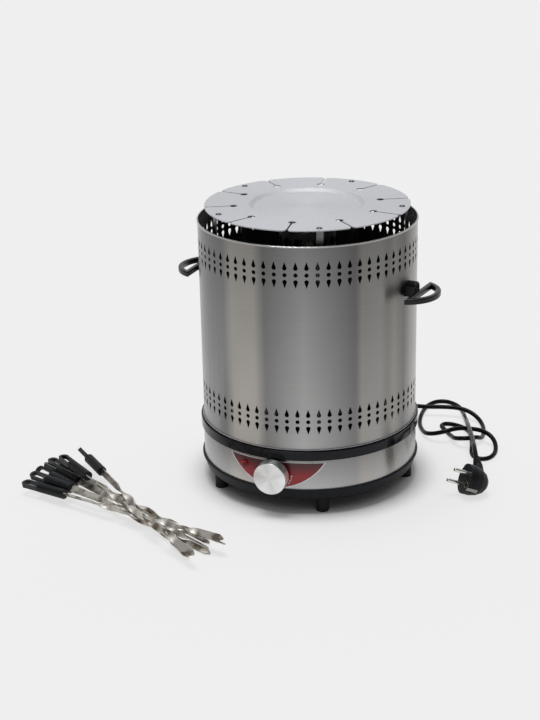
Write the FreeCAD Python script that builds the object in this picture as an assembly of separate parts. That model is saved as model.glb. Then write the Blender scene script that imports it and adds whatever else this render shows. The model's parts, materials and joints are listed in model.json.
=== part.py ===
import FreeCAD, Part
import math
import os

# Electric skewer grill: an upright heater in a slotted steel casing, with ten skewer sockets
# that one motor turns through a ring gear, seven loose skewers and a mains cord with its plug.
# Millimetres, +Z up.  The origin lies on the grill's axis in the plane of the floor and the
# front, with the knob, looks along -Y.  An azimuth is counted in degrees about +Z from the
# front towards +X, so +X lies at 90 and the back at 180.

os.makedirs("parts", exist_ok=True)

V = FreeCAD.Vector
ORIGIN = V(0, 0, 0)
UP = V(0, 0, 1)
AHEAD = V(0, -1, 0)

# --- clearances --------------------------------------------------------------------------------
running_fit = 0.05          # radial play of a shaft that turns in its bore
loose_fit = 0.2             # radial play of a pin or neck in a plain hole
axial_play = 0.3            # gap beside a face that turns
lay_gap = 0.3               # gap between things that only lie on each other

# --- feet and bottom tray ----------------------------------------------------------------------
foot_count = 5
foot_radius = 7.5
foot_height = 17.6
foot_circle = 119.5         # radius of the circle that the feet stand on
frame_azimuth = 25.3        # first foot, post, strap and rivet; the others follow in even steps
foot_stem_radius = 2.5
foot_barb_radius = 3.5
foot_barb_height = 2.0

tray_floor = 2.0
tray_wall = 1.1
tray_ledge_rise = 10.0      # from the tray's underside to the ledge that carries the skirt
tray_ledge_width = 1.9
tray_rim_height = 4.0       # rim above the ledge
tray_bead = 1.1             # bead beyond the wall
tray_bead_rise = 2.2        # bead's lower edge above the ledge
tray_flare = 3.4            # how much wider the wall is at the ledge than at the bottom
tray_rounding = 2.0

# --- skirt, deck and casing --------------------------------------------------------------------
casing_radius = 130.0
casing_thickness = 0.8
casing_height = 252.2
casing_side_gap = 0.4
casing_bead = 0.8           # rolled edge at the top
casing_bead_height = 1.8

skirt_radius = 130.8
skirt_thickness = 0.8
skirt_height = 45.4

deck_thickness = 1.0
deck_lip = 1.0
deck_lip_rise = 8.4         # lip that keeps the casing in place, above the floor of the deck
deck_band = 1.0
deck_band_gap = 1.7         # between the skirt and the band outside it
deck_band_drop = 3.8
deck_band_rise = 6.5
deck_groove_depth = 1.5
deck_band_rounding = 0.7
collar_wall = 4.0
collar_rise = 5.6

# --- air vents in the casing -------------------------------------------------------------------
vent_columns = 66
vent_azimuth = 1.5
vent_width = 5.1
vent_drop_length = 10.2     # a drop-shaped slot, from its round end to its point
vent_dot_radius = 2.4
vent_dot_gap = 3.0          # between the dot and the round end of each drop
vent_low_rise = 42.4        # middle of the lower row above the casing's lower edge
vent_high_drop = 33.2       # middle of the upper row below the casing's upper edge

# --- side handles ------------------------------------------------------------------------------
handle_azimuths = {"handle_right": 81.5, "handle_left": -93.0}
handle_rise = 175.4         # middle of the grip above the casing's lower edge
handle_standoff = 11.5      # casing to the back of the grip
handle_chord = 75.0
handle_bow = 26.5
handle_bar = 6.3
handle_height = 7.0
handle_rounding = 1.8
boss_radius = 7.2
boss_rise = 6.8             # boss axis above the middle of the grip
boss_rounding = 1.5
boss_proud = 0.5            # end of the boss beyond the back of the grip
boss_screw_spacing = 8.0
boss_screw_length = 8.0

# --- top disc and the straps that carry it -----------------------------------------------------
disc_radius = 121.3
disc_thickness = 1.2
dish_top_radius = 69.0
dish_bottom_radius = 64.0
dish_depth = 3.0
station_count = 10
station_azimuth = 7.3
station_circle = 87.0
keyhole_radius = 4.6
keyhole_slit = 2.0
keyhole_mouth = 5.0

strap_width = 8.0
strap_thickness = 1.5
strap_circle = 117.0        # radius to the middle of the upright's thickness
strap_height = 267.0
strap_tab = 9.25
strap_groove_width = 3.0
strap_groove_depth = 0.5
strap_groove_margin = 14.0
rivet_circle = 112.4
rivet_radius = 1.6
rivet_head_radius = 3.75
rivet_head_height = 0.9
rivet_dimple_radius = 1.7
rivet_dimple_depth = 0.6

# --- heater ------------------------------------------------------------------------------------
guard_radius = 34.0
guard_thickness = 0.6
guard_columns = 14
guard_rows = 14
guard_hex = 11.0            # across the flats
guard_margin = 14.0         # plain band at each end
socket_body_radius = 13.6
socket_flange_radius = 24.0
socket_flange_height = 5.0
socket_body_drop = 18.0     # body below the deck's underside
socket_head_rise = 6.0      # head above the deck
socket_recess = 9.0
tube_radius = 10.0
tube_thickness = 1.4
tube_length = 256.0
core_radius = 5.0
core_length = 250.0
coil_wire_radius = 0.7
coil_pitch = 9.0
coil_margin = 12.0
heater_screw_circle = 19.0

# --- frame inside the base ---------------------------------------------------------------------
post_circle = 96.0
post_radius = 4.0
lower_post_length = 30.9
post_spigot_length = 6.0
plate_radius = 104.0
plate_thickness = 1.5
plate_hole_radius = 32.0
screw_radius = 1.5
screw_head_radius = 2.8
screw_head_height = 1.6
screw_length = 6.0

# --- gears -------------------------------------------------------------------------------------
gear_module = 1.5
gear_width = 6.0
gear_addendum = 1.2
gear_dedendum = 1.7
tooth_tip = 1.2
tooth_root = 2.7
drive_teeth = 98
socket_teeth = 18
pinion_teeth = 12
hub_radius = 40.0
hub_bore_radius = 34.0
retainer_radius = 44.0
retainer_thickness = 1.2
retainer_collar = 1.0
retainer_collar_depth = 4.0
lightening_holes = 6
lightening_radius = 8.0
lightening_circle = 58.0

pivot_radius = 3.0
pivot_recess = 0.2
station_shaft_radius = 5.0
station_flange_radius = 10.5
station_flange_height = 2.0
station_tube_radius = 7.5
station_tube_height = 22.0
station_bore_radius = 4.25
station_bore_depth = 16.0
station_slot_width = 2.0
station_slot_length = 8.4
station_slot_depth = 8.0

motor_azimuth = 205.3
motor_radius = 24.0
motor_height = 22.0
motor_shaft_radius = 3.0
motor_shaft_depth = 15.0
motor_lug_offset = 28.0
motor_lug_angle = 50.0
motor_lug_radius = 5.5

# --- switch, knob, lamp and front plate --------------------------------------------------------
switch_width = 30.0
switch_depth = 22.5
switch_rise = 22.9          # axis above the skirt's lower edge
switch_setback = 2.5        # switch's front face behind the skirt's inner face
switch_shoulder_radius = 8.0
bush_radius = 5.0
bush_reach = 3.8            # end of the bush beyond the skirt
nut_radius = 7.5
nut_height = 2.8
shaft_radius = 3.0
shaft_grip = 15.0           # length of the shaft inside the switch
knob_radius = 19.5
knob_gap = 5.7              # back of the knob beyond the skirt
knob_depth = 13.0
knob_wall = 1.2
knob_edge = 0.8
knob_core_recess = 2.0

plate_skin = 0.3
plate_top_rise = 38.4       # straight upper edge above the skirt's lower edge
plate_depth = 34.0          # from the upper edge to the lowest point of the arc
plate_half_width = 59.2

lamp_azimuth = -17.2
lamp_rise = 28.2
lamp_dome_radius = 3.5
lamp_flange_radius = 4.6
lamp_flange_height = 1.0
lamp_stem_length = 6.0
lamp_housing_radius = 5.0
lamp_housing_length = 17.6

# --- mains side --------------------------------------------------------------------------------
terminal_azimuth = 150.0
terminal_circle = 100.0
terminal_length = 30.0
terminal_width = 14.0
terminal_height = 12.0
gland_rise = 17.4
gland_neck_radius = 5.8
gland_flange_radius = 7.5
gland_flange_height = 2.5
gland_relief_base = 5.2      # tapered strain relief around the cord
gland_relief_tip = 3.9
gland_relief_length = 24.0

cord_radius = 2.9
cord_arc_share = 0.45
# the cord's route from inside the gland to just before the strain relief of the plug
cord_points = [
    (0, 138, 45), (0, 165, 45), (9, 184, 41), (24, 194, 32), (41, 197, 24),
    (58, 198, 18), (79, 203, 13.5), (99, 209, 12), (119, 214, 12.5), (140, 215, 13),
    (156, 211, 11), (169, 203, 6), (177, 191, 3), (182, 176, 3), (185, 160, 3),
    (186, 145, 4), (182, 130, 11), (177, 121.5, 12.5), (169, 117, 13), (160, 119, 11),
    (153.5, 127, 7.5), (148, 138, 4.5), (141, 149, 3), (135, 158, 3), (129.5, 165, 3),
    (125.5, 172.5, 3), (129, 180, 3), (137, 181, 3), (148, 178, 3), (158, 172, 3),
    (166, 162, 3), (171.5, 148, 3), (176, 132, 3), (179.5, 117, 3), (182, 103, 3),
    (185.5, 92, 3), (191, 84.5, 3), (199.5, 82, 3), (207, 86.5, 3), (211, 96, 3),
    (212, 108, 3.5), (210, 120, 6), (205, 131, 10), (196, 139, 14), (184, 144, 15.5),
    (171, 146, 15), (159, 142, 16), (149, 133, 16.5), (138, 126, 14), (126, 125.5, 10.5),
    (115, 132, 7), (107, 146, 4), (99, 163, 3), (94, 181, 3), (91, 201, 3),
    (90, 221, 3), (92, 239, 3), (99, 252, 3), (111, 257, 3), (123, 252, 3),
    (133.5, 243, 3), (142.5, 226, 3), (151, 200, 7), (164.5, 151.5, 21.3), (175, 119, 27),
    (185, 88.5, 30.4), (193.5, 61.5, 33),
]
cord_lead = 16.0            # straight end of the cord before the plug's strain relief

# plug: its pins point along plug_axis and the cord leaves it along plug_exit
plug_face = V(201.4, -19.6, 21.75)
plug_axis = V(-0.8062, -0.4664, 0.3639)
plug_exit = V(-0.3378, 0.868, 0.3641)
plug_radius = 18.5
# depth behind the face and radius, from the end of the full-width part to the back
plug_taper = [(9.0, 18.5), (17.0, 16.5), (24.0, 12.5), (28.0, 7.5)]
plug_relief_offset = 21.7   # relief's axis behind the face
plug_neck_radius = 6.1
plug_neck_length = 28.0     # plain neck, from the plug's axis to the ribs
plug_relief_length = 15.0   # ribbed part
plug_relief_base = 5.9
plug_relief_tip = 3.5
plug_rib_count = 5
plug_rib_width = 1.7
plug_rib_depth = 0.9
pin_spacing = 19.0
pin_radius = 2.4
pin_length = 19.0
pin_rounding = 1.0
pin_seat = 6.0              # length of a pin inside the plug
earth_offset = 10.0         # earth sleeve from the plug's axis, away from the cord
earth_radius = 4.0
earth_wall = 0.7
earth_length = 9.0
earth_hole_depth = 12.0
clip_width = 5.0
clip_length = 14.0
clip_thickness = 0.6
clip_recess = 0.9           # clip's outer face below the plug's rim
clip_groove_margin = 0.8    # groove beyond each long edge of the clip

# --- skewers -----------------------------------------------------------------------------------
skewer_length = 305.0
grip_radius = 6.0
grip_length = 41.0
grip_rib_count = 24
grip_rib_depth = 0.4
eye_length = 27.0
eye_width = 12.6
eye_thickness = 5.0
eye_bar = 3.2
blade_width = 8.0
blade_thickness = 1.5
blade_flat = 46.0           # straight part between the grip and the twist
blade_twist_pitch = 88.0    # length of a full turn
blade_end_flat = 36.0       # straight part from the twist to the end
blade_twist_sections = 12   # cross-sections in a full turn
blade_tang = 20.0           # part inside the grip
blade_point = 6.0
# how each skewer lies beside the grill: ring end, point, roll of the blade and roll of the eye
skewer_lay = [
    ((-310.9, -171.6, 12.7), (-17.3, -253.7, 21.8), -47.0, 8.0),
    ((-306.9, -157.6, 18.6), (-16.8, -250.6, 14.0), 44.0, 15.0),
    ((-311.6, -133.8, 13.7), (-32.2, -256.5, 2.4), 97.0, 40.0),
    ((-311.2, -112.1, 11.8), (-38.0, -247.5, 3.9), 36.0, -20.0),
    ((-313.8, -96.2, 10.4), (-41.9, -234.8, 3.4), 77.0, 0.0),
    ((-286.1, -116.7, 27.3), (-36.8, -292.2, 18.4), -46.0, 0.0),
    ((-280.7, -75.6, 19.3), (-51.0, -275.5, 5.0), 74.0, 125.0),
]

# --- sizes that follow from the ones above -----------------------------------------------------
tray_bottom = foot_height
tray_top = tray_bottom + tray_floor
skirt_bottom = tray_bottom + tray_ledge_rise
deck_bottom = skirt_bottom + skirt_height
deck_top = deck_bottom + deck_thickness
casing_bottom = deck_top + lay_gap
casing_top = casing_bottom + casing_height
casing_inside = casing_radius - casing_thickness
skirt_inside = skirt_radius - skirt_thickness
disc_bottom = deck_top + strap_height
disc_top = disc_bottom + disc_thickness
plate_bottom = tray_top + lower_post_length
plate_top = plate_bottom + plate_thickness
gear_bottom = plate_top + axial_play
gear_top = gear_bottom + gear_width
collar_top = deck_top + collar_rise
drive_radius = gear_module * drive_teeth / 2
pinion_circle = drive_radius + gear_module * pinion_teeth / 2
switch_axis = skirt_bottom + switch_rise
gland_axis = skirt_bottom + gland_rise
switch_face = skirt_inside - switch_setback
bush_end = skirt_radius + bush_reach
knob_back = skirt_radius + knob_gap


# --- helpers -----------------------------------------------------------------------------------
def turned(shape, azimuth):
    """Copy of a shape made at the front, turned to its azimuth."""
    copy = shape.copy()
    copy.rotate(ORIGIN, UP, azimuth)
    return copy


def frame_places():
    """Azimuths of the five feet, posts and straps."""
    return [frame_azimuth + 360.0 / foot_count * step for step in range(foot_count)]


def station_places():
    """Azimuths of the ten skewer stations."""
    return [station_azimuth + 360.0 / station_count * step for step in range(station_count)]


def rod(radius, low, high, distance=0.0):
    """Upright cylinder, on the axis or at a distance in front of it."""
    return Part.makeCylinder(radius, high - low, V(0, -distance, low))


def tube(outer, inner, low, high):
    return rod(outer, low, high).cut(rod(inner, low - 1, high + 1))


def spoke(radius, near, far, height, across=0.0):
    """Cylinder that points forwards, from one distance from the grill's axis to another."""
    return Part.makeCylinder(radius, far - near, V(across, -near, height), AHEAD)


def box(low_x, high_x, near, far, low, high):
    """Box at the front, between two distances from the grill's axis."""
    return Part.makeBox(high_x - low_x, far - near, high - low, V(low_x, -far, low))


def spun(outline):
    """Solid of revolution of an outline given as (radius, height) points."""
    corners = [V(radius, 0, height) for radius, height in outline]
    face = Part.Face(Part.makePolygon(corners + corners[:1]))
    return face.revolve(ORIGIN, UP, 360)


def rounded(shape, fillet, rims):
    """Round the circular edges given as (radius, height) pairs."""
    chosen = []
    for edge in shape.Edges:
        if not isinstance(edge.Curve, Part.Circle):
            continue
        for radius, height in rims:
            same_radius = abs(edge.Curve.Radius - radius) < 0.01
            if same_radius and abs(edge.Curve.Center.z - height) < 0.01:
                chosen.append(edge)
    return shape.makeFillet(fillet, chosen)


def along(shape, start, direction):
    """Move a shape made along +X from the origin so that it starts and points as given."""
    copy = shape.copy()
    copy.Placement = FreeCAD.Placement(start, FreeCAD.Rotation(V(1, 0, 0), direction))
    return copy


def ring_gear_tooth_shift(azimuth):
    """How far past a tooth of the drive gear a place lies, as a share of one tooth."""
    return (azimuth * drive_teeth / 360.0) % 1.0


def meshing_azimuth(azimuth, teeth):
    """First tooth of a gear at this azimuth so that its gaps face the drive gear's teeth."""
    return azimuth + 180.0 + (ring_gear_tooth_shift(azimuth) - 0.5) * 360.0 / teeth


def gear_blank(teeth, first_azimuth, low, high):
    """Straight-toothed gear on the axis, with a tooth at the first azimuth."""
    pitch_radius = gear_module * teeth / 2
    tip_radius = pitch_radius + gear_addendum
    root_radius = pitch_radius - gear_dedendum
    tip_half = math.asin(tooth_tip / 2 / tip_radius)
    root_half = math.asin(tooth_root / 2 / root_radius)
    corners = []
    for tooth in range(teeth):
        middle = math.radians(first_azimuth + 360.0 / teeth * tooth)
        for radius, offset in ((root_radius, -root_half), (tip_radius, -tip_half),
                               (tip_radius, tip_half), (root_radius, root_half)):
            angle = middle + offset
            corners.append(V(radius * math.sin(angle), -radius * math.cos(angle), low))
    face = Part.Face(Part.makePolygon(corners + corners[:1]))
    return face.extrude(V(0, 0, high - low))


# --- feet and bottom tray ----------------------------------------------------------------------
def make_rubber_feet():
    foot = rod(foot_radius, 0, foot_height, foot_circle)
    stem = rod(foot_stem_radius, foot_height, tray_top, foot_circle)
    barb = rod(foot_barb_radius, tray_top, tray_top + foot_barb_height, foot_circle)
    plug = foot.fuse([stem, barb]).removeSplitter()
    return Part.makeCompound([turned(plug, azimuth) for azimuth in frame_places()])


def make_bottom_tray():
    ledge = skirt_bottom
    wall_inside = skirt_radius + loose_fit
    wall_outside = wall_inside + tray_wall
    bead = wall_outside + tray_bead
    rim = ledge + tray_rim_height
    outline = [
        (0, tray_bottom), (wall_outside - tray_flare, tray_bottom), (wall_outside, ledge + tray_wall),
        (bead, ledge + tray_bead_rise), (bead, rim - tray_bead / 2), (bead - tray_bead / 2, rim),
        (wall_inside, rim), (wall_inside, ledge), (wall_inside - tray_ledge_width, ledge),
        (wall_inside - tray_ledge_width - tray_flare + tray_wall, tray_top), (0, tray_top),
    ]
    tray = rounded(spun(outline), tray_rounding, [(wall_outside - tray_flare, tray_bottom)])
    holes = []
    for azimuth in frame_places():
        holes.append(turned(rod(foot_stem_radius, 0, tray_top + 1, foot_circle), azimuth))
        holes.append(turned(rod(screw_radius, 0, tray_top + 1, post_circle), azimuth))
    return tray.cut(holes)


# --- skirt, deck and casing --------------------------------------------------------------------
def make_base_skirt():
    skirt = tube(skirt_radius, skirt_inside, skirt_bottom, deck_bottom)
    near = skirt_inside - 5
    far = skirt_radius + 5
    holes = [
        spoke(bush_radius + loose_fit, near, far, switch_axis),
        turned(spoke(lamp_dome_radius, near, far, skirt_bottom + lamp_rise), lamp_azimuth),
        turned(spoke(gland_neck_radius, near, far, gland_axis), 180),
    ]
    return skirt.cut(holes)


def make_deck_pan():
    lip_inside = casing_radius + casing_side_gap
    lip_outside = lip_inside + deck_lip
    band_inside = skirt_radius + deck_band_gap
    band_outside = band_inside + deck_band
    band_top = deck_top + deck_band_rise
    groove_floor = band_top - deck_groove_depth
    outline = [
        (socket_body_radius + loose_fit, deck_bottom), (band_inside, deck_bottom),
        (band_inside, deck_bottom - deck_band_drop), (band_outside, deck_bottom - deck_band_drop),
        (band_outside, band_top), (band_inside, band_top), (band_inside, groove_floor),
        (lip_outside, groove_floor), (lip_outside, deck_top + deck_lip_rise),
        (lip_inside, deck_top + deck_lip_rise), (lip_inside, deck_top),
        (socket_body_radius + loose_fit, deck_top),
    ]
    deck = rounded(spun(outline), deck_band_rounding, [(band_outside, band_top)])
    bore = station_shaft_radius + running_fit
    collar = rod(bore + collar_wall, deck_bottom, collar_top, station_circle)
    collar_bore = rod(bore, deck_bottom - 1, collar_top + 1, station_circle)
    deck = deck.fuse([turned(collar, azimuth) for azimuth in station_places()])
    holes = [turned(collar_bore, azimuth) for azimuth in station_places()]
    for azimuth in frame_places():
        holes.append(turned(rod(screw_radius, deck_bottom - 1, deck_top + 1, post_circle), azimuth))
        holes.append(turned(rod(rivet_radius, deck_bottom - 1, deck_top + 1, rivet_circle), azimuth))
    for azimuth in (90, -90):
        holes.append(turned(rod(screw_radius, deck_bottom - 1, deck_top + 1, heater_screw_circle),
                            azimuth))
    return deck.cut(holes)


def drop_cutter(base, point):
    """Drop-shaped slot through the front of the casing, round at its base height."""
    towards = 1 if point > base else -1
    radius = vent_width / 2
    centre = base + towards * radius
    lean = math.asin(radius / abs(point - centre))
    side = radius * math.cos(lean)
    height = centre + towards * radius * math.sin(lean)
    near = -(casing_inside - 4)
    left = V(-side, near, height)
    right = V(side, near, height)
    tip = V(0, near, point)
    edges = [Part.LineSegment(tip, left), Part.Arc(left, V(0, near, base), right),
             Part.LineSegment(right, tip)]
    outline = Part.Wire([edge.toShape() for edge in edges])
    return Part.Face(outline).extrude(AHEAD * (casing_thickness + 8))


def vent_row(middle):
    """One column of a vent row: a dot between two drops that point away from it."""
    start = vent_dot_radius + vent_dot_gap
    dot = spoke(vent_dot_radius, casing_inside - 4, casing_radius + 4, middle)
    upper = drop_cutter(middle + start, middle + start + vent_drop_length)
    lower = drop_cutter(middle - start, middle - start - vent_drop_length)
    return [dot, upper, lower]


def make_casing():
    shell = tube(casing_radius, casing_inside, casing_bottom, casing_top)
    bead = tube(casing_radius + casing_bead, casing_inside, casing_top - casing_bead_height,
                casing_top)
    shell = shell.fuse(bead).removeSplitter()
    shell = rounded(shell, casing_bead * 0.75, [(casing_radius + casing_bead, casing_top)])
    column = vent_row(casing_bottom + vent_low_rise) + vent_row(casing_top - vent_high_drop)
    cutters = []
    for step in range(vent_columns):
        azimuth = vent_azimuth + 360.0 / vent_columns * step
        cutters += [turned(cutter, azimuth) for cutter in column]
    for azimuth in handle_azimuths.values():
        for height in boss_screw_heights():
            hole = spoke(screw_radius, casing_inside - 4, casing_radius + 4, height)
            cutters.append(turned(hole, azimuth))
    return shell.cut(cutters)


# --- side handles ------------------------------------------------------------------------------
def boss_screw_heights():
    boss_axis = casing_bottom + handle_rise + boss_rise
    return [boss_axis - boss_screw_spacing / 2, boss_axis + boss_screw_spacing / 2]


def bow_face(inset, low):
    """Half-moon of the grip, seen from above, drawn this far inside its outer edge."""
    back = casing_radius + handle_standoff
    half = handle_chord / 2
    outer_radius = (half ** 2 + handle_bow ** 2) / (2 * handle_bow)
    centre = back + handle_bow - outer_radius
    radius = outer_radius - inset
    chord = back + inset
    half = math.sqrt(radius ** 2 - (chord - centre) ** 2)
    left = V(-half, -chord, low)
    right = V(half, -chord, low)
    arc = Part.Arc(left, V(0, -centre - radius, low), right)
    return Part.Face(Part.Wire([Part.LineSegment(right, left).toShape(), arc.toShape()]))


def make_handle(azimuth):
    middle = casing_bottom + handle_rise
    low = middle - handle_height / 2
    rise = V(0, 0, handle_height)
    grip = bow_face(0, low).extrude(rise).cut(bow_face(handle_bar, low).extrude(rise))
    level = [edge for edge in grip.Edges if abs(edge.BoundBox.ZLength) < 0.01]
    grip = grip.makeFillet(handle_rounding, level)
    boss_axis = middle + boss_rise
    boss_end = casing_radius + handle_standoff + boss_proud
    boss = spoke(boss_radius, casing_radius - 5, boss_end, boss_axis)
    rim = [edge for edge in boss.Edges if abs(edge.BoundBox.YMin + boss_end) < 0.01
           and edge.BoundBox.YLength < 0.01]
    boss = boss.makeFillet(boss_rounding, rim)
    web = box(-boss_radius, boss_radius, casing_radius - 5, casing_radius + handle_standoff, low,
              boss_axis)
    body = boss.fuse([grip, web]).removeSplitter()
    thread_end = casing_inside + boss_screw_length
    cutters = [rod(casing_radius, low - 1, boss_axis + boss_radius + 1)]
    for height in boss_screw_heights():
        cutters.append(spoke(screw_radius, casing_radius - 5, thread_end, height))
    return turned(body.cut(cutters), azimuth)


def make_handle_screws():
    seat = math.sqrt(casing_inside ** 2 - screw_head_radius ** 2)
    screws = []
    for azimuth in handle_azimuths.values():
        for height in boss_screw_heights():
            head = spoke(screw_head_radius, seat - screw_head_height, seat, height)
            shank = spoke(screw_radius, seat, casing_inside + boss_screw_length, height)
            screws.append(turned(head.fuse(shank), azimuth))
    return Part.makeCompound(screws)


# --- top disc and its straps -------------------------------------------------------------------
def keyhole_cutter():
    """Round hole, slit and rounded mouth of one skewer station, through the disc at the front."""
    low = disc_bottom - dish_depth - 1
    high = disc_top + 1
    half = keyhole_slit / 2
    hole = rod(keyhole_radius, low, high, station_circle)
    slit = box(-half, half, station_circle, disc_radius + 1, low, high)
    centre_x = half + keyhole_mouth
    centre_circle = disc_radius - keyhole_mouth
    centre_y = math.sqrt(centre_circle ** 2 - centre_x ** 2)
    reach = disc_radius / centre_circle
    start = V(half, -centre_y, low)
    end = V(centre_x * reach, -centre_y * reach, low)
    towards = V(centre_x, -centre_y, low) - V(half, -centre_y, low)
    middle = (start + end) * 0.5 - V(centre_x, -centre_y, low)
    middle = V(centre_x, -centre_y, low) + middle.normalize() * towards.Length
    outside = disc_radius + 1

    def mirrored(point):
        return V(-point.x, point.y, point.z)

    corner = V(end.x, -outside, low)
    edges = [
        Part.Arc(start, middle, end), Part.LineSegment(end, corner),
        Part.LineSegment(corner, mirrored(corner)), Part.LineSegment(mirrored(corner), mirrored(end)),
        Part.Arc(mirrored(end), mirrored(middle), mirrored(start)),
        Part.LineSegment(mirrored(start), start),
    ]
    mouth = Part.Face(Part.Wire([edge.toShape() for edge in edges])).extrude(V(0, 0, high - low))
    return [hole, slit, mouth]


def make_top_disc():
    inner_top = dish_top_radius - disc_thickness / 2
    inner_bottom = dish_bottom_radius - disc_thickness / 2
    outline = [
        (0, disc_bottom - dish_depth), (dish_bottom_radius, disc_bottom - dish_depth),
        (dish_top_radius, disc_bottom), (disc_radius, disc_bottom), (disc_radius, disc_top),
        (inner_top, disc_top), (inner_bottom, disc_top - dish_depth), (0, disc_top - dish_depth),
    ]
    cutters = []
    for azimuth in station_places():
        cutters += [turned(cutter, azimuth) for cutter in keyhole_cutter()]
    for azimuth in frame_places():
        cutters.append(turned(rod(rivet_radius, disc_bottom - 1, disc_top + 1, rivet_circle), azimuth))
    return spun(outline).cut(cutters)


def make_support_strap(azimuth):
    outer = strap_circle + strap_thickness / 2
    inner = outer - strap_thickness
    half = strap_width / 2
    upright = box(-half, half, inner, outer, deck_top, disc_bottom)
    foot_tab = box(-half, half, outer - strap_tab - strap_thickness, outer, deck_top,
                   deck_top + strap_thickness)
    top_tab = box(-half, half, outer - strap_tab - strap_thickness, outer,
                  disc_bottom - strap_thickness, disc_bottom)
    strap = upright.fuse([foot_tab, top_tab]).removeSplitter()
    groove = box(-strap_groove_width / 2, strap_groove_width / 2, outer - strap_groove_depth,
                 outer + 1, deck_top + strap_groove_margin, disc_bottom - strap_groove_margin)
    hole = rod(rivet_radius, deck_top - 1, disc_bottom + 1, rivet_circle)
    return turned(strap.cut([groove, hole]), azimuth)


def rivet(low, high):
    """Tubular rivet at the front that clamps everything between two heights."""
    shank = rod(rivet_radius, low, high, rivet_circle)
    under = rod(rivet_head_radius, low - rivet_head_height, low, rivet_circle)
    head = rod(rivet_head_radius, high, high + rivet_head_height, rivet_circle)
    dimple = rod(rivet_dimple_radius, high + rivet_head_height - rivet_dimple_depth,
                 high + rivet_head_height + 1, rivet_circle)
    return shank.fuse([under, head]).cut(dimple)


def make_strap_rivets():
    top = rivet(disc_bottom - strap_thickness, disc_top)
    foot = rivet(deck_bottom, deck_top + strap_thickness)
    rivets = []
    for azimuth in frame_places():
        rivets += [turned(top, azimuth), turned(foot, azimuth)]
    return Part.makeCompound(rivets)


# --- heater ------------------------------------------------------------------------------------
def make_heater_guard():
    top = disc_bottom - dish_depth
    wall = tube(guard_radius, guard_radius - guard_thickness, deck_top, top)
    corner = guard_hex / math.sqrt(3)
    spread = top - deck_top - 2 * guard_margin - 2 * corner
    cutters = []
    for row in range(guard_rows):
        height = deck_top + guard_margin + corner + spread * row / (guard_rows - 1)
        points = []
        for side in range(6):
            angle = math.radians(60 * side + 30)
            points.append(V(corner * math.cos(angle), -guard_radius + 4,
                            height + corner * math.sin(angle)))
        cell = Part.Face(Part.makePolygon(points + points[:1])).extrude(AHEAD * 8)
        for column in range(guard_columns):
            azimuth = 360.0 / guard_columns * (column + 0.5 * (row % 2))
            cutters.append(turned(cell, azimuth))
    return wall.cut(cutters)


def heater_floor():
    return deck_top + socket_head_rise - socket_recess


def make_heater_socket():
    flange = rod(socket_flange_radius, deck_bottom - socket_flange_height, deck_bottom)
    body = rod(socket_body_radius, deck_bottom - socket_body_drop, deck_top + socket_head_rise)
    recess = rod(tube_radius + loose_fit, heater_floor(), deck_top + socket_head_rise + 1)
    threads = [turned(rod(screw_radius, 0, deck_bottom + 1, heater_screw_circle), side)
               for side in (90, -90)]
    return flange.fuse(body).cut([recess] + threads)


def make_quartz_tube():
    low = heater_floor()
    return tube(tube_radius, tube_radius - tube_thickness, low, low + tube_length)


def make_heater_core():
    low = heater_floor()
    return rod(core_radius, low, low + core_length)


def make_heater_coil():
    low = heater_floor() + coil_margin
    height = core_length - 2 * coil_margin
    radius = core_radius + coil_wire_radius + running_fit
    helix = Part.makeHelix(coil_pitch, height, radius)
    helix.translate(V(0, 0, low))
    section = Part.Wire([Part.makeCircle(coil_wire_radius, V(radius, 0, low), V(0, 1, 0))])
    return Part.Wire(helix.Edges).makePipeShell([section], True, True)


# --- frame inside the base ---------------------------------------------------------------------
def make_chassis_plate():
    plate = tube(plate_radius, plate_hole_radius, plate_bottom, plate_top)
    hub = tube(hub_radius, hub_bore_radius, plate_top, gear_top + axial_play)
    plate = plate.fuse(hub).removeSplitter()
    pivot_hole = rod(pivot_radius + running_fit, plate_bottom - 1, plate_top + 1, station_circle)
    holes = [turned(pivot_hole, azimuth) for azimuth in station_places()]
    for azimuth in frame_places():
        holes.append(turned(rod(screw_radius, plate_bottom - 1, plate_top + 1, post_circle), azimuth))
    shaft_hole = rod(motor_shaft_radius + loose_fit, plate_bottom - 1, plate_top + 1, pinion_circle)
    holes.append(turned(shaft_hole, motor_azimuth))
    holes += motor_lugs(screw_radius, plate_bottom - 1, plate_top + 1)
    return plate.cut(holes)


def make_chassis_posts():
    """Lower posts with a spigot that goes through the chassis plate into the upper posts."""
    post = rod(post_radius, tray_top, plate_bottom, post_circle)
    spigot = rod(screw_radius, plate_bottom, plate_top + post_spigot_length, post_circle)
    thread = rod(screw_radius, tray_top - 1, tray_bottom + screw_length, post_circle)
    body = post.fuse(spigot).cut(thread)
    return Part.makeCompound([turned(body, azimuth) for azimuth in frame_places()])


def make_deck_posts():
    post = rod(post_radius, plate_top, deck_bottom, post_circle)
    bottom_thread = rod(screw_radius, plate_top - 1, plate_top + post_spigot_length, post_circle)
    top_thread = rod(screw_radius, deck_top - screw_length, deck_bottom + 1, post_circle)
    body = post.cut([bottom_thread, top_thread])
    return Part.makeCompound([turned(body, azimuth) for azimuth in frame_places()])


def screw(seat, distance, pointing):
    """Pan-head screw at the front; its head seats at a height and it points down or up."""
    tip = seat + pointing * screw_length
    head_end = seat - pointing * screw_head_height
    shank = rod(screw_radius, min(seat, tip), max(seat, tip), distance)
    head = rod(screw_head_radius, min(seat, head_end), max(seat, head_end), distance)
    return shank.fuse(head)


def motor_lugs(radius, low, high):
    """Cylinders at the two screw places of the motor."""
    places = []
    for side in (-1, 1):
        angle = math.radians(motor_lug_angle)
        lug = rod(radius, low, high, pinion_circle - motor_lug_offset * math.cos(angle))
        lug.translate(V(side * motor_lug_offset * math.sin(angle), 0, 0))
        places.append(turned(lug, motor_azimuth))
    return places


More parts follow.
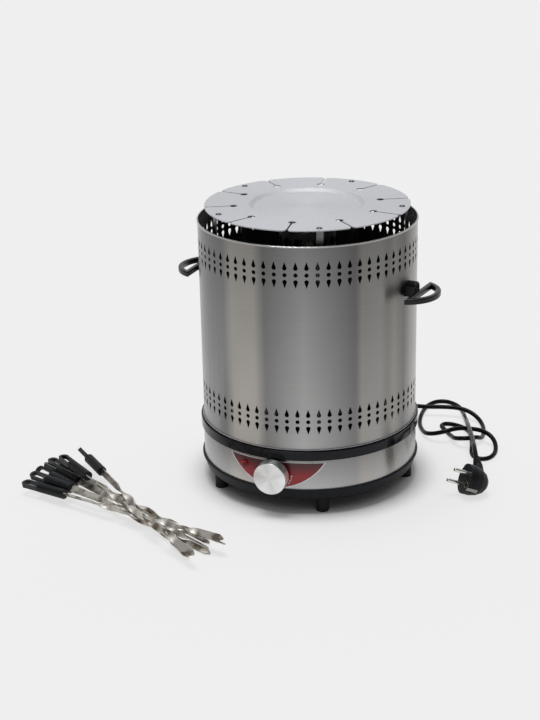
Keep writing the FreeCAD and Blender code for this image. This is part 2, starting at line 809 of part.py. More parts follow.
def make_frame_screws():
    screws = []
    for azimuth in frame_places():
        screws.append(turned(screw(tray_bottom, post_circle, 1), azimuth))
        screws.append(turned(screw(deck_top, post_circle, -1), azimuth))
    for side in (90, -90):
        screws.append(turned(screw(deck_top, heater_screw_circle, -1), side))
    seat = plate_top - screw_length
    shanks = motor_lugs(screw_radius, seat, plate_top)
    heads = motor_lugs(screw_head_radius, seat - screw_head_height, seat)
    screws += [shank.fuse(head) for shank, head in zip(shanks, heads)]
    return Part.makeCompound(screws)


def make_gear_motor():
    low = plate_bottom - motor_height
    can = rod(motor_radius, low, plate_bottom, pinion_circle)
    bore = rod(motor_shaft_radius + running_fit, plate_bottom - motor_shaft_depth - axial_play,
               plate_bottom + 1, pinion_circle)
    lug_bottom = plate_top - screw_length
    body = turned(can, motor_azimuth).fuse(motor_lugs(motor_lug_radius, lug_bottom, plate_bottom))
    threads = motor_lugs(screw_radius, lug_bottom - 1, plate_bottom + 1)
    return body.cut([turned(bore, motor_azimuth)] + threads)


# --- gears and skewer sockets ------------------------------------------------------------------
def make_drive_gear():
    gear = gear_blank(drive_teeth, 0, gear_bottom, gear_top)
    cutters = [rod(hub_radius + running_fit, gear_bottom - 1, gear_top + 1)]
    for step in range(lightening_holes):
        hole = rod(lightening_radius, gear_bottom - 1, gear_top + 1, lightening_circle)
        cutters.append(turned(hole, 360.0 / lightening_holes * step))
    return gear.cut(cutters)


def make_gear_retainer():
    low = gear_top + axial_play
    cap = tube(retainer_radius, hub_bore_radius - retainer_collar, low, low + retainer_thickness)
    collar = tube(hub_bore_radius, hub_bore_radius - retainer_collar, low - retainer_collar_depth,
                  low)
    return cap.fuse(collar).removeSplitter()


def make_motor_pinion():
    gear = gear_blank(pinion_teeth, meshing_azimuth(motor_azimuth, pinion_teeth), gear_bottom,
                      gear_top)
    shaft = rod(motor_shaft_radius, plate_bottom - motor_shaft_depth, gear_bottom)
    pinion = gear.fuse(shaft)
    pinion.translate(turned(Part.Vertex(0, -pinion_circle, 0), motor_azimuth).Point)
    return pinion


def make_socket(azimuth):
    tooth = meshing_azimuth(azimuth, socket_teeth)
    flange_bottom = collar_top + axial_play
    tube_bottom = flange_bottom + station_flange_height
    top = tube_bottom + station_tube_height
    bore_floor = top - station_bore_depth
    parts = [
        rod(pivot_radius, plate_bottom + pivot_recess, gear_bottom),
        rod(station_shaft_radius, gear_top, flange_bottom),
        rod(station_flange_radius, flange_bottom, tube_bottom),
        rod(station_tube_radius, tube_bottom, top),
    ]
    bore = rod(station_bore_radius, bore_floor, top + 1)
    slot = box(-station_slot_width / 2, station_slot_width / 2, -station_slot_length / 2,
               station_slot_length / 2, bore_floor - station_slot_depth, bore_floor + 1)
    body = turned(parts[1].fuse(parts[2:]).removeSplitter().cut([bore, slot]), azimuth)
    socket = gear_blank(socket_teeth, tooth, gear_bottom, gear_top).fuse([parts[0], body])
    socket.translate(turned(Part.Vertex(0, -station_circle, 0), azimuth).Point)
    return socket


# --- switch, knob and lamp ---------------------------------------------------------------------
def make_rotary_switch():
    half = switch_width / 2
    body = box(-half, half, switch_face - switch_depth, switch_face, switch_axis - half,
               switch_axis + half)
    shoulder_face = math.sqrt(skirt_inside ** 2 - switch_shoulder_radius ** 2)
    shoulder = spoke(switch_shoulder_radius, switch_face, shoulder_face, switch_axis)
    bush = spoke(bush_radius, switch_face, bush_end, switch_axis)
    bore = spoke(shaft_radius + running_fit, switch_face - shaft_grip - axial_play, bush_end + 1,
                 switch_axis)
    return body.fuse([shoulder, bush]).cut(bore)


def plate_face():
    """Distance of the front plate's outer face from the grill's axis."""
    return skirt_radius + running_fit + plate_skin


def make_switch_nut():
    nut = spoke(nut_radius, plate_face(), plate_face() + nut_height, switch_axis)
    points = []
    for side in range(6):
        angle = math.radians(60 * side)
        points.append(V(nut_radius * math.cos(angle), -plate_face(),
                        switch_axis + nut_radius * math.sin(angle)))
    hexagon = Part.Face(Part.makePolygon(points + points[:1])).extrude(AHEAD * nut_height)
    return nut.common(hexagon).cut(spoke(bush_radius, plate_face() - 1, bush_end, switch_axis))


def make_switch_shaft():
    return spoke(shaft_radius, switch_face - shaft_grip, knob_back + knob_depth - knob_wall,
                 switch_axis)


def make_knob_shell():
    front = knob_back + knob_depth
    cup = spoke(knob_radius, knob_back, front, switch_axis)
    rim = [edge for edge in cup.Edges if edge.BoundBox.YLength < 0.01
           and abs(edge.BoundBox.YMin + front) < 0.01]
    cup = cup.makeFillet(knob_edge, rim)
    return cup.cut(spoke(knob_radius - knob_wall, knob_back - 1, front - knob_wall, switch_axis))


def make_knob_core():
    front = knob_back + knob_depth - knob_wall
    core = spoke(knob_radius - knob_wall, knob_back + knob_core_recess, front, switch_axis)
    return core.cut(spoke(shaft_radius, knob_back - 1, front + 1, switch_axis))


def make_control_plate():
    inside = skirt_radius + running_fit
    skin = tube(inside + plate_skin, inside, skirt_bottom, deck_bottom)
    top = skirt_bottom + plate_top_rise
    far = -(skirt_radius + 5)
    left = V(-plate_half_width, far, top)
    right = V(plate_half_width, far, top)
    arc = Part.Arc(left, V(0, far, top - plate_depth), right)
    outline = Part.Wire([Part.LineSegment(right, left).toShape(), arc.toShape()])
    front = Part.Face(outline).extrude(V(0, skirt_radius, 0))
    holes = [
        spoke(bush_radius + loose_fit, skirt_radius - 5, bush_end, switch_axis),
        turned(spoke(lamp_dome_radius, skirt_radius - 5, skirt_radius + 5,
                     skirt_bottom + lamp_rise), lamp_azimuth),
    ]
    return skin.common(front).cut(holes)


def make_pilot_lens():
    height = skirt_bottom + lamp_rise
    flange = spoke(lamp_flange_radius, plate_face(), plate_face() + lamp_flange_height, height)
    stem = spoke(lamp_dome_radius, plate_face() - lamp_stem_length, plate_face(), height)
    centre = V(0, -(plate_face() + lamp_flange_height), height)
    ball = Part.makeSphere(lamp_dome_radius, centre)
    half = spoke(lamp_dome_radius + 1, plate_face() + lamp_flange_height / 2,
                 plate_face() + lamp_flange_height + lamp_dome_radius, height)
    return turned(flange.fuse([stem, ball.common(half)]), lamp_azimuth)


def make_lamp_housing():
    height = skirt_bottom + lamp_rise
    face = math.sqrt(skirt_inside ** 2 - lamp_housing_radius ** 2)
    case = spoke(lamp_housing_radius, face - lamp_housing_length, face, height)
    bore = spoke(lamp_dome_radius, plate_face() - lamp_stem_length, face + 1, height)
    return turned(case.cut(bore), lamp_azimuth)


# --- mains side --------------------------------------------------------------------------------
def make_terminal_block():
    half = terminal_length / 2
    block = box(-half, half, terminal_circle - terminal_width / 2,
                terminal_circle + terminal_width / 2, tray_top, tray_top + terminal_height)
    wells = []
    for step in (-1, 0, 1):
        well = rod(screw_head_radius, tray_top + terminal_height / 2, tray_top + terminal_height + 1,
                   terminal_circle)
        well.translate(V(step * terminal_length / 3, 0, 0))
        wells.append(well)
    return turned(block.cut(wells), terminal_azimuth)


def make_cord_gland():
    seat = skirt_radius + running_fit
    inner_face = math.sqrt(skirt_inside ** 2 - gland_flange_radius ** 2)
    outer = spoke(gland_flange_radius, seat, seat + gland_flange_height, gland_axis)
    neck = spoke(gland_neck_radius, inner_face, seat, gland_axis)
    inner = spoke(gland_flange_radius, inner_face - gland_flange_height, inner_face, gland_axis)
    relief_start = seat + gland_flange_height
    relief = Part.makeCone(gland_relief_base, gland_relief_tip, gland_relief_length,
                           V(0, -relief_start, gland_axis), AHEAD)
    bore = spoke(cord_radius, 0, relief_start + gland_relief_length + 1, gland_axis)
    return turned(outer.fuse([neck, inner, relief]).cut(bore), 180)


def relief_place(rise):
    """Point on the axis of the plug's strain relief, at a height above the plug's own axis."""
    return plug_face - plug_axis * plug_relief_offset + plug_exit * rise


def relief_end():
    return relief_place(plug_neck_length + plug_relief_length)


def make_cord():
    """Round tube along straight runs joined by tangent arcs; prints its bends and its volume."""
    points = [V(*point) for point in cord_points]
    points += [relief_end() + plug_exit * cord_lead, relief_end()]
    edges = []
    here = points[0]
    radii = []
    for before, corner, after in zip(points, points[1:], points[2:]):
        back = before - corner
        ahead = after - corner
        run = min(back.Length, ahead.Length)
        turn = math.pi - back.getAngle(ahead)
        radius = cord_arc_share * run / math.tan(turn / 2)
        radii.append(radius)
        start = corner + back.normalize() * (cord_arc_share * run)
        end = corner + ahead.normalize() * (cord_arc_share * run)
        inward = (back + ahead).normalize()
        middle = corner + inward * (radius / math.cos(turn / 2) - radius)
        edges.append(Part.LineSegment(here, start).toShape())
        edges.append(Part.Arc(start, middle, end).toShape())
        here = end
    edges.append(Part.LineSegment(here, points[-1]).toShape())
    path = Part.Wire(edges)
    section = Part.Wire([Part.makeCircle(cord_radius, points[0], points[1] - points[0])])
    cord = path.makePipeShell([section], True, False)
    expected = math.pi * cord_radius ** 2 * path.Length
    print("cord length %.1f, volume over section times length %.5f" % (path.Length,
                                                                      cord.Volume / expected))
    print("cord bend radii", [round(radius, 1) for radius in radii])
    return cord


def plug_pin_bases():
    """Centres of the two pins in the plug's face, across the cord's exit."""
    offset = plug_axis.cross(plug_exit).normalize() * (pin_spacing / 2)
    return [plug_face - offset, plug_face + offset]


def make_plug_pins():
    pins = []
    for base in plug_pin_bases():
        seat = base - plug_axis * pin_seat
        pin = Part.makeCylinder(pin_radius, pin_seat + pin_length, seat, plug_axis)
        tip = [edge for edge in pin.Edges
               if edge.BoundBox.Center.distanceToPoint(base + plug_axis * pin_length) < 0.01]
        pins.append(pin.makeFillet(pin_rounding, tip))
    return Part.makeCompound(pins)


def relief_rod(radius, start, length):
    """Piece of the strain relief that begins at a height above the plug's axis."""
    return Part.makeCylinder(radius, length, relief_place(start), plug_exit)


def make_plug_body():
    outline = [(0, 0), (0, plug_radius)] + plug_taper + [(plug_taper[-1][0], 0)]
    points = [V(depth, 0, radius) for depth, radius in outline]
    body = Part.Face(Part.makePolygon(points + points[:1])).revolve(ORIGIN, V(1, 0, 0), 360)
    body = along(body, plug_face, plug_axis * -1)
    neck = relief_rod(plug_neck_radius, 0, plug_neck_length)
    relief = Part.makeCone(plug_relief_base, plug_relief_tip, plug_relief_length,
                           relief_place(plug_neck_length), plug_exit)
    body = body.fuse([neck, relief])
    pitch = plug_relief_length / plug_rib_count
    cutters = []
    for rib in range(plug_rib_count):
        start = plug_neck_length + pitch * rib
        share = rib / plug_rib_count
        here = plug_relief_base + (plug_relief_tip - plug_relief_base) * share
        ring = relief_rod(here + 2, start, pitch - plug_rib_width)
        core = relief_rod(here - plug_rib_depth, start - 1, pitch)
        cutters.append(ring.cut(core))
    for base in plug_pin_bases():
        cutters.append(Part.makeCylinder(pin_radius, pin_seat, base, plug_axis * -1))
    cutters.append(earth_rod(earth_radius, earth_hole_depth))
    floor = plug_radius - clip_recess - clip_thickness
    groove = clip_width + 2 * clip_groove_margin
    cutters += rim_strips(groove, floor, plug_radius + 1)
    return body.cut(cutters)


def earth_rod(radius, depth):
    """Cylinder sunk into the plug's face where the earth pin of an outlet enters."""
    return Part.makeCylinder(radius, depth, plug_face - plug_exit * earth_offset, plug_axis * -1)


def rim_strips(width, floor, top):
    """Two strips along the plug's rim, on the cord's side and opposite it."""
    strips = []
    for side in (-1, 1):
        strip = Part.makeBox(clip_length, width, top - floor, V(0, -width / 2, floor))
        frame = FreeCAD.Rotation(plug_axis * -1, V(0, 0, 0), plug_exit * side, "XZY")
        strip.Placement = FreeCAD.Placement(plug_face, frame)
        strips.append(strip)
    return strips


def make_earth_clips():
    """Sleeve for the earth pin and the two side clips."""
    bore = earth_rod(earth_radius - earth_wall, earth_length + 1)
    sleeve = earth_rod(earth_radius, earth_length).cut(bore)
    floor = plug_radius - clip_recess - clip_thickness
    return Part.makeCompound([sleeve] + rim_strips(clip_width, floor, floor + clip_thickness))


# --- skewers -----------------------------------------------------------------------------------
def laid(shape, start, end, roll):
    """Move a piece made along +X from the origin onto a line, rolled about it."""
    frame = FreeCAD.Rotation(V(*end) - V(*start), V(0, 0, 0), UP, "XZY")
    copy = shape.copy()
    copy.Placement = FreeCAD.Placement(V(*start), frame * FreeCAD.Rotation(V(1, 0, 0), roll))
    return copy


def blade_section(distance, angle, width):
    half = width / 2
    thick = blade_thickness / 2
    corners = [V(distance, -half, -thick), V(distance, half, -thick), V(distance, half, thick),
               V(distance, -half, thick)]
    outline = Part.makePolygon(corners + corners[:1])
    outline.rotate(ORIGIN, V(1, 0, 0), angle)
    return outline


def make_blade():
    """Strip that starts inside the grip, runs flat, twists and ends flat in a blunt point."""
    start = eye_length + grip_length - blade_tang
    twist_start = eye_length + grip_length + blade_flat
    twist_length = skewer_length - blade_end_flat - twist_start
    turn = 360.0 * twist_length / blade_twist_pitch
    steps = round(blade_twist_sections * twist_length / blade_twist_pitch)
    sections = [blade_section(start, 0, blade_width)]
    for step in range(steps + 1):
        share = step / steps
        sections.append(blade_section(twist_start + twist_length * share, turn * share, blade_width))
    sections.append(blade_section(skewer_length - blade_point, turn, blade_width))
    sections.append(blade_section(skewer_length, turn, blade_thickness))
    return Part.makeLoft(sections, True, True)


def make_skewer_handle():
    """Flat eye and ribbed grip, moulded in one piece."""
    grip_start = eye_length
    grip_end = eye_length + grip_length
    pitch = grip_length / grip_rib_count
    outline = [(grip_start, 0)]
    for rib in range(grip_rib_count):
        begin = grip_start + rib * pitch
        outline += [(begin, grip_radius), (begin + pitch * 0.6, grip_radius),
                    (begin + pitch * 0.6, grip_radius - grip_rib_depth),
                    (begin + pitch, grip_radius - grip_rib_depth)]
    outline.append((grip_end, 0))
    points = [V(distance, 0, radius) for distance, radius in outline]
    grip = Part.Face(Part.makePolygon(points + points[:1])).revolve(ORIGIN, V(1, 0, 0), 360)
    round_end = eye_width / 2
    low = -eye_thickness / 2
    nose = Part.makeCylinder(round_end, eye_thickness, V(round_end, 0, low))
    sides = Part.makeBox(eye_length - round_end + pitch / 2, 2 * grip_radius, eye_thickness,
                         V(round_end, -grip_radius, low))
    hole_radius = round_end - eye_bar
    hole_end = eye_length - eye_bar - hole_radius
    holes = [
        Part.makeCylinder(hole_radius, eye_thickness + 2, V(round_end, 0, low - 1)),
        Part.makeCylinder(hole_radius, eye_thickness + 2, V(hole_end, 0, low - 1)),
        Part.makeBox(hole_end - round_end, 2 * hole_radius, eye_thickness + 2,
                     V(round_end, -hole_radius, low - 1)),
    ]
    return grip.fuse([nose, sides]).cut(holes)


# --- all pieces --------------------------------------------------------------------------------
def make_pieces():
    pieces = {
        "rubber_feet": make_rubber_feet(),
        "bottom_tray": make_bottom_tray(),
        "base_skirt": make_base_skirt(),
        "deck_pan": make_deck_pan(),
        "casing": make_casing(),
        "handle_screws": make_handle_screws(),
        "top_disc": make_top_disc(),
        "strap_rivets": make_strap_rivets(),
        "heater_guard": make_heater_guard(),
        "heater_socket": make_heater_socket(),
        "quartz_tube": make_quartz_tube(),
        "heater_core": make_heater_core(),
        "heater_coil": make_heater_coil(),
        "chassis_plate": make_chassis_plate(),
        "chassis_posts": make_chassis_posts(),
        "deck_posts": make_deck_posts(),
        "frame_screws": make_frame_screws(),
        "gear_motor": make_gear_motor(),
        "motor_pinion": make_motor_pinion(),
        "drive_gear": make_drive_gear(),
        "gear_retainer": make_gear_retainer(),
        "rotary_switch": make_rotary_switch(),
        "switch_nut": make_switch_nut(),
        "switch_shaft": make_switch_shaft(),
        "knob_shell": make_knob_shell(),
        "knob_core": make_knob_core(),
        "control_plate": make_control_plate(),
        "pilot_lens": make_pilot_lens(),
        "lamp_housing": make_lamp_housing(),
        "terminal_block": make_terminal_block(),
        "cord_gland": make_cord_gland(),
        "cord": make_cord(),
        "plug_body": make_plug_body(),
        "plug_pins": make_plug_pins(),
        "plug_earth_clips": make_earth_clips(),
    }
    for name, azimuth in handle_azimuths.items():
        pieces[name] = make_handle(azimuth)
    for number, azimuth in enumerate(frame_places(), 1):
        pieces["support_strap_%d" % number] = make_support_strap(azimuth)
    for number, azimuth in enumerate(station_places(), 1):
        pieces["skewer_socket_%02d" % number] = make_socket(azimuth)
    blade = make_blade()
    handle = make_skewer_handle()
    blades = []
    for number, (start, end, blade_roll, eye_roll) in enumerate(skewer_lay, 1):
        blades.append(laid(blade, start, end, blade_roll))
        grip = laid(handle, start, end, eye_roll)
        pieces["skewer_handle_%d" % number] = grip.cut(blades[-1])
    pieces["skewer_blades"] = Part.makeCompound(blades)
    return pieces


for name, shape in make_pieces().items():
    if not shape.isValid():
        print("invalid shape:", name)
    shape.exportStep("parts/" + name + ".step")
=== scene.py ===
import json
import math

import bmesh
import bpy
from mathutils import Matrix, Vector


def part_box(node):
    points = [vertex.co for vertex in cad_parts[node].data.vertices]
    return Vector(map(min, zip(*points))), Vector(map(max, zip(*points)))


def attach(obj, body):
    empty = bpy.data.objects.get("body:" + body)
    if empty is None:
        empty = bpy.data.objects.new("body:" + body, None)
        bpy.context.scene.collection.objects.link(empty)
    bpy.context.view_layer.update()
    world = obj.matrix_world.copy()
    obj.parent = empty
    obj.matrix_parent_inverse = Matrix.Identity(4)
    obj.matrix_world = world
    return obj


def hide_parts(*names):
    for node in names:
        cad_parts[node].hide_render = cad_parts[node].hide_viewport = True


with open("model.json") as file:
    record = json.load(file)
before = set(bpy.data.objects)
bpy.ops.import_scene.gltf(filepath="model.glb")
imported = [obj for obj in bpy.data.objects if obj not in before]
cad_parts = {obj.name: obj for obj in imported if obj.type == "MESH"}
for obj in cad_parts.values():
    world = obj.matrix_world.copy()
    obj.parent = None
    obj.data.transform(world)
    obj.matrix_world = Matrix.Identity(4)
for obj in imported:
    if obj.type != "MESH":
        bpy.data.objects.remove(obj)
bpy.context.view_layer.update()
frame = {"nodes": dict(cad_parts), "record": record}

MM = 0.001
# azimuths in this file are degrees round the grill, from its front at -Y towards +X


# --- camera ------------------------------------------------------------------------------------
CAMERA_AZIMUTH = 18.6        # where the camera stands
CAMERA_DISTANCE = 1.78436    # from the grill's axis, along the floor
CAMERA_HEIGHT = 0.81705
CAMERA_YAW = -1.529          # turn of its aim about the upright, clockwise from above
CAMERA_PITCH = 20.636        # how far it looks down
CAMERA_ROLL = -1.196
CAMERA_LENS = 78.06
CAMERA_SENSOR = 36.0


def make_camera():
    data = bpy.data.cameras.new("camera")
    data.lens = CAMERA_LENS
    data.sensor_fit = "AUTO"
    data.sensor_width = CAMERA_SENSOR
    camera = bpy.data.objects.new("camera", data)
    around = Matrix.Rotation(math.radians(CAMERA_AZIMUTH), 4, "Z")
    stand = Matrix.Translation((0, -CAMERA_DISTANCE, CAMERA_HEIGHT))
    yaw = Matrix.Rotation(math.radians(-CAMERA_YAW), 4, "Z")
    pitch = Matrix.Rotation(math.radians(90 - CAMERA_PITCH), 4, "X")
    roll = Matrix.Rotation(math.radians(CAMERA_ROLL), 4, "Z")
    camera.matrix_world = around @ stand @ yaw @ pitch @ roll
    bpy.context.collection.objects.link(camera)
    bpy.context.scene.camera = camera


# --- node trees --------------------------------------------------------------------------------
NOISE_SPAN = (0.25, 0.75)    # values between which nearly all of a noise lies


class Graph:
    """A node tree under construction."""

    def __init__(self, tree):
        self.tree = tree

    def attach(self, socket, value):
        """Link an output to a socket, or give the socket a plain value."""
        if isinstance(value, bpy.types.NodeSocket):
            self.tree.links.new(value, socket)
        else:
            socket.default_value = value

    def node(self, kind, settings=None, **inputs):
        """Add a node. Its inputs are named with an underscore for each space."""
        made = self.tree.nodes.new(kind)
        for key, value in (settings or {}).items():
            setattr(made, key, value)
        for key, value in inputs.items():
            self.attach(made.inputs[key.replace("_", " ")], value)
        return made

    def math(self, operation, *values):
        made = self.node("ShaderNodeMath", {"operation": operation})
        for socket, value in zip(made.inputs, values):
            self.attach(socket, value)
        return made.outputs["Value"]

    def vectors(self, operation, *values):
        made = self.node("ShaderNodeVectorMath", {"operation": operation})
        for socket, value in zip(made.inputs, values):
            self.attach(socket, value)
        plain = operation in ("DOT_PRODUCT", "LENGTH")
        return made.outputs["Value" if plain else "Vector"]

    def parts(self, vector):
        """The X, Y and Z of a vector, by name."""
        return self.node("ShaderNodeSeparateXYZ", Vector=vector).outputs

    def blend(self, factor, first, second):
        """The first colour where the factor is 0 and the second where it is 1."""
        made = self.node("ShaderNodeMix", {"data_type": "RGBA"}, Factor=factor, A=first, B=second)
        return made.outputs["Result"]

    def ranged(self, value, low, high, start=0.0, end=1.0, kind="LINEAR"):
        """The value, carried over from the range low to high to the range start to end."""
        made = self.node("ShaderNodeMapRange", {"interpolation_type": kind}, Value=value,
                         From_Min=low, From_Max=high, To_Min=start, To_Max=end)
        return made.outputs["Result"]

    def ramp(self, factor, stops):
        made = self.node("ShaderNodeValToRGB", Fac=factor)
        ends = made.color_ramp.elements
        while len(ends) < len(stops):
            ends.new(0.5)
        for element, (position, color) in zip(ends, stops):
            element.position = position
            element.color = (*color, 1)
        return made.outputs["Color"]

    def turn(self, across, along):
        """Angle of a point in a plane, as a share of a turn that is 0.5 along the second axis."""
        return self.ranged(self.math("ARCTAN2", across, along), -math.pi, math.pi)

    def azimuth_ramp(self, parts, stops):
        """Colours by azimuth."""
        turn = self.turn(parts["X"], self.math("MULTIPLY", parts["Y"], -1.0))
        return self.ramp(turn, [((degrees + 180) / 360, color) for degrees, color in stops])

    def seen(self):
        """1 for rays from the camera, off a glossy surface or through glass, else 0."""
        path = self.node("ShaderNodeLightPath").outputs
        direct = self.math("MAXIMUM", path["Is Camera Ray"], path["Is Glossy Ray"])
        return self.math("MAXIMUM", direct, path["Is Transmission Ray"])


class Recipe(Graph):
    """A material under construction, with its principled shader."""

    def __init__(self, name, **sockets):
        self.name = name
        self.material = bpy.data.materials.new(name)
        self.material.use_nodes = True
        super().__init__(self.material.node_tree)
        self.shader = self.tree.nodes["Principled BSDF"]
        for socket, value in sockets.items():
            self.shader.inputs[socket.replace("_", " ")].default_value = value

    def link(self, output, socket):
        self.tree.links.new(output, self.shader.inputs[socket])

    def paint(self, color):
        """Give the surface a colour and keep it for further layers."""
        self.color = color
        self.link(color, "Base Color")

    def place(self, scale=(1, 1, 1)):
        """Object coordinates, stretched by a scale for each axis."""
        coords = self.node("ShaderNodeTexCoord").outputs["Object"]
        return self.node("ShaderNodeMapping", Vector=coords, Scale=scale).outputs["Vector"]

    def off_axis(self, place):
        """Distance of a place from the grill's upright axis."""
        return self.vectors("LENGTH", self.vectors("MULTIPLY", place, (1, 1, 0)))

    def noise(self, scale, stretch=(1, 1, 1), detail=4.0, roughness=0.55):
        return self.node("ShaderNodeTexNoise", Vector=self.place(stretch), Scale=scale,
                         Detail=detail, Roughness=roughness).outputs["Fac"]

    def roughen(self, noise, low, high):
        """Let the roughness follow a noise from a low to a high value."""
        self.link(self.ranged(noise, *NOISE_SPAN, low, high), "Roughness")

    def bump(self, height, strength, distance):
        made = self.node("ShaderNodeBump", Height=height, Strength=strength, Distance=distance)
        self.link(made.outputs["Normal"], "Normal")


# --- studio ------------------------------------------------------------------------------------
BACKDROP = (0.863, 0.863, 0.863)
SUN_STRENGTH = 1.75
SUN_ANGLE = 30.0
SUN_AZIMUTH = -125.0         # where the light comes from, as an azimuth from the camera's own
SUN_ELEVATION = 84.0
SKY_STRENGTH = 0.7
# colours of the studio's walls round the horizon, by azimuth from the camera's own
WALL_STOPS = [
    (-180, (0.95, 0.96, 0.98)), (-128, (0.90, 0.92, 0.95)), (-100, (0.16, 0.16, 0.17)),
    (-60, (0.34, 0.31, 0.27)), (-20, (0.10, 0.10, 0.11)), (20, (0.26, 0.26, 0.27)),
    (60, (0.10, 0.10, 0.10)), (100, (0.24, 0.22, 0.19)), (128, (0.90, 0.92, 0.95)),
    (180, (0.95, 0.96, 0.98)),
]
CEILING = (0.88, 0.89, 0.91)
CEILING_FADE = (0.55, 0.95)  # heights on the unit sphere where the walls give way to it
BACKDROP_FADE = (0.3, 0.14)  # and where the walls give way to the pale backdrop, downwards
# beyond the grill the floor clears to the backdrop, and shadows on it are faint
FLOOR_REACH = 30.0
FLOOR_ROUGHNESS = 0.9
CLEAR_FROM = 128 * MM
CLEAR_TO = 168 * MM
CLEAR_SHARE = 0.78


def make_sky():
    """Studio walls round the horizon, a bright ceiling and the pale backdrop low down."""
    world = bpy.data.worlds.new("studio")
    bpy.context.scene.world = world
    world.use_nodes = True
    graph = Graph(world.node_tree)
    toward = graph.node("ShaderNodeTexCoord").outputs["Generated"]
    turned = graph.node("ShaderNodeVectorRotate", {"rotation_type": "Z_AXIS"}, Vector=toward,
                        Angle=math.radians(-CAMERA_AZIMUTH)).outputs["Vector"]
    parts = graph.parts(turned)
    walls = graph.azimuth_ramp(parts, WALL_STOPS)
    overhead = graph.ranged(parts["Z"], *CEILING_FADE, kind="SMOOTHSTEP")
    studio = graph.blend(overhead, walls, (*CEILING, 1))
    low = graph.ranged(parts["Z"], *BACKDROP_FADE, kind="SMOOTHSTEP")
    shown = graph.math("MULTIPLY", graph.seen(), low)
    pale = tuple(part / SKY_STRENGTH for part in BACKDROP)
    back = graph.tree.nodes["Background"]
    graph.attach(back.inputs["Color"], graph.blend(shown, studio, (*pale, 1)))
    graph.attach(back.inputs["Strength"], SKY_STRENGTH)


def make_sun():
    """Broad soft light from nearly overhead."""
    data = bpy.data.lights.new("sun", "SUN")
    data.energy = SUN_STRENGTH
    data.angle = math.radians(SUN_ANGLE)
    lamp = bpy.data.objects.new("sun", data)
    azimuth = math.radians(SUN_AZIMUTH + CAMERA_AZIMUTH)
    elevation = math.radians(SUN_ELEVATION)
    towards = Vector((math.sin(azimuth) * math.cos(elevation),
                      -math.cos(azimuth) * math.cos(elevation), math.sin(elevation)))
    lamp.rotation_mode = "QUATERNION"
    lamp.rotation_quaternion = towards.to_track_quat("Z", "Y")
    bpy.context.collection.objects.link(lamp)


def make_floor():
    """Wide pale floor that takes the grill's shadow and clears to the backdrop round it."""
    mesh = bpy.data.meshes.new("floor")
    reach = FLOOR_REACH
    corners = [(-reach, -reach, 0), (reach, -reach, 0), (reach, reach, 0), (-reach, reach, 0)]
    mesh.from_pydata(corners, [], [(0, 1, 2, 3)])
    floor = bpy.data.objects.new("floor", mesh)
    bpy.context.collection.objects.link(floor)
    recipe = Recipe("floor", Base_Color=(*BACKDROP, 1), Roughness=FLOOR_ROUGHNESS,
                    Specular_IOR_Level=0.0)
    away = recipe.ranged(recipe.off_axis(recipe.place()), CLEAR_FROM, CLEAR_TO, 0.0, CLEAR_SHARE,
                         "SMOOTHSTEP")
    glow = recipe.node("ShaderNodeEmission", Color=(*BACKDROP, 1)).outputs["Emission"]
    result = recipe.node("ShaderNodeMixShader", Fac=recipe.math("MULTIPLY", away, recipe.seen()))
    recipe.attach(result.inputs[1], recipe.shader.outputs["BSDF"])
    recipe.attach(result.inputs[2], glow)
    surface = recipe.tree.get_output_node("ALL").inputs["Surface"]
    recipe.attach(surface, result.outputs["Shader"])
    mesh.materials.append(recipe.material)


# --- metals ------------------------------------------------------------------------------------
# colour, roughness, pull of the brushing on reflections, grain along X, Y and Z, and the axis
# that the brushing runs round
BRUSHED = {
    "disc_steel": ((0.60, 0.61, 0.63), 0.7, 0.1, (260, 260, 260)),
    # rivet_steel is near black: painted shade round the rivets' rolled edges
    "rivet_steel": ((0.1, 0.1, 0.1), 0.25, 0.1, (300, 300, 300)),
    "inner_steel": ((0.16, 0.16, 0.16), 0.34, 0.2, (300, 300, 60)),
    # guard_steel is near black: painted shade of the guard lying under the disc
    "guard_steel": ((0.06, 0.058, 0.055), 0.36, 0.2, (300, 300, 300)),
    "blade_steel": ((0.58, 0.555, 0.51), 0.5, 0.2, (240, 240, 240)),
    "coil_wire": ((0.34, 0.29, 0.27), 0.42, 0.0, (500, 500, 500)),
    "pin_metal": ((0.72, 0.70, 0.66), 0.16, 0.2, (700, 700, 700)),
    "clip_metal": ((0.3, 0.29, 0.27), 0.3, 0.2, (700, 700, 700)),
    "gear_metal": ((0.4, 0.4, 0.41), 0.3, 0.3, (400, 400, 60), "Z"),
    "knob_aluminium": ((0.96, 0.965, 0.97), 0.3, 0.8, (60, 1200, 60), "Y"),
    "casing_steel": ((0.305, 0.30, 0.292), 0.3, 0.85, (18, 18, 2600), "Z"),
    "skirt_steel": ((0.36, 0.355, 0.35), 0.26, 0.8, (18, 18, 2600), "Z"),
}
SHADE_STOPS = (0.3, 0.7)     # values of a noise that give the two shades of a colour
BRUSHED_SHADES = (0.93, 1.05)
BRUSHED_SWING = (0.03, 0.04)  # how far the roughness goes below and above its middle
BRUSHED_RELIEF = (0.12, 0.00008)
LINE_DETAIL = 6.0
LINE_ROUGHNESS = 0.7
PATCH_FINENESS = 14.0


def shades(color, tones):
    """Stops of a ramp between a darker and a paler shade of a colour."""
    return [(stop, tuple(tone * part for part in color))
            for stop, tone in zip(SHADE_STOPS, tones)]


